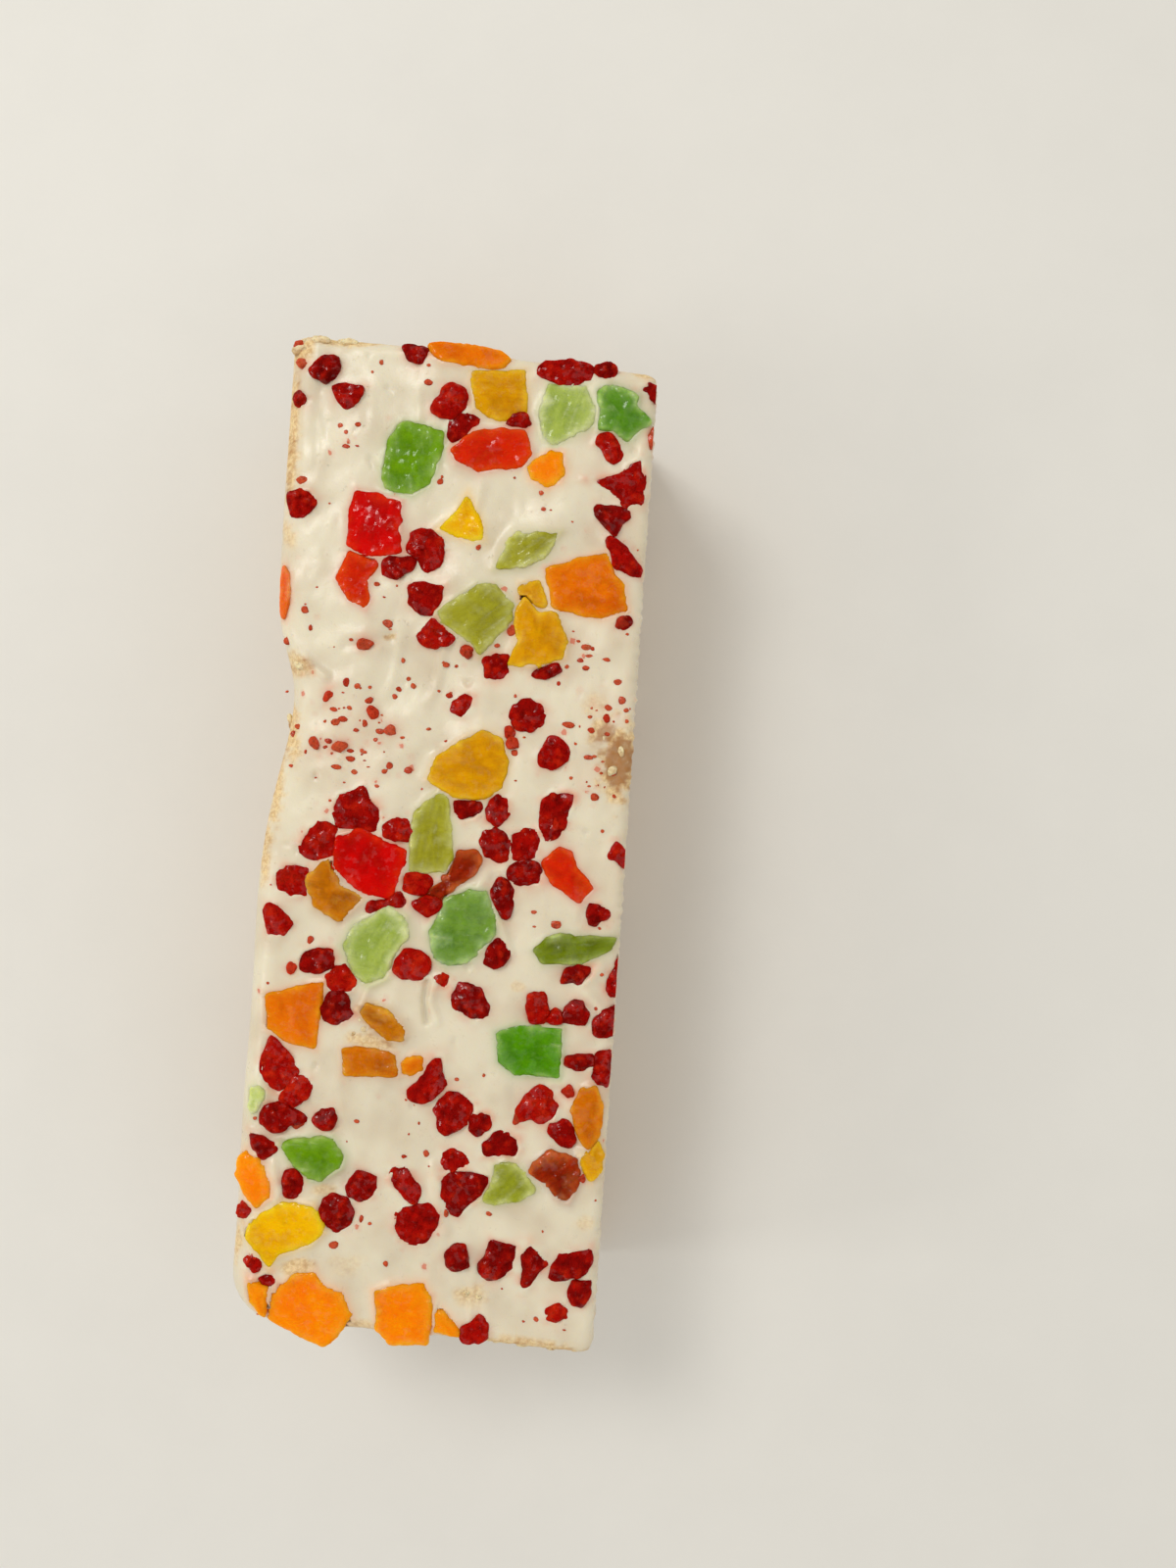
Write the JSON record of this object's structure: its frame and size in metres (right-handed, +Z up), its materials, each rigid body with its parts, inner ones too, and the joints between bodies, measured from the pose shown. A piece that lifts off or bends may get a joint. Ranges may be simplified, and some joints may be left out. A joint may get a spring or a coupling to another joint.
{
  "type": "sachima bar",
  "caption": "Bar of puffed fried dough strands under a marshmallow layer set with candied fruit pieces and dark red berry crumbs.",
  "frame": {"origin": "middle of the bar's footprint, on its flat base", "axes": "+Z up out of the marshmallow layer, +Y along the bar towards its far cut end, +X across it"},
  "size_m": [0.0383, 0.1034, 0.0279],
  "materials": {
    "dough": "puffed fried egg dough, matt with a thin syrup shine",
    "marshmallow": "cream white, soft satin, slightly translucent",
    "orange": "candied, translucent, moist",
    "yellow": "candied, translucent, moist",
    "green": "candied, translucent, moist",
    "lime": "candied, translucent, moist",
    "red": "candied, translucent, moist",
    "berry": "dark red dried berry, rough and sticky"
  },
  "bodies": {
    "root": {"dough_block": "dough", "marshmallow_top": "marshmallow", "orange_1": "orange", "yellow_1": "yellow", "lime_1": "lime", "green_1": "green", "green_2": "green", "red_1": "red", "orange_2": "orange", "red_2": "red", "red_3": "red", "yellow_2": "yellow", "lime_2": "lime", "orange_3": "orange", "yellow_4": "yellow", "yellow_3": "yellow", "lime_3": "lime", "red_4": "red", "yellow_5": "yellow", "lime_4": "lime", "red_5": "red", "yellow_6": "yellow", "lime_5": "lime", "green_3": "green", "red_6": "red", "green_4": "green", "berry_1": "berry", "orange_4": "orange", "yellow_7": "yellow", "orange_5": "orange", "orange_6": "orange", "green_5": "green", "lime_6": "lime", "green_6": "green", "orange_7": "orange", "yellow_8": "yellow", "berry_2": "berry", "lime_7": "lime", "orange_8": "orange", "yellow_9": "yellow", "orange_9": "orange", "orange_10": "orange", "orange_11": "orange", "orange_12": "orange"}
  },
  "joints": []
}
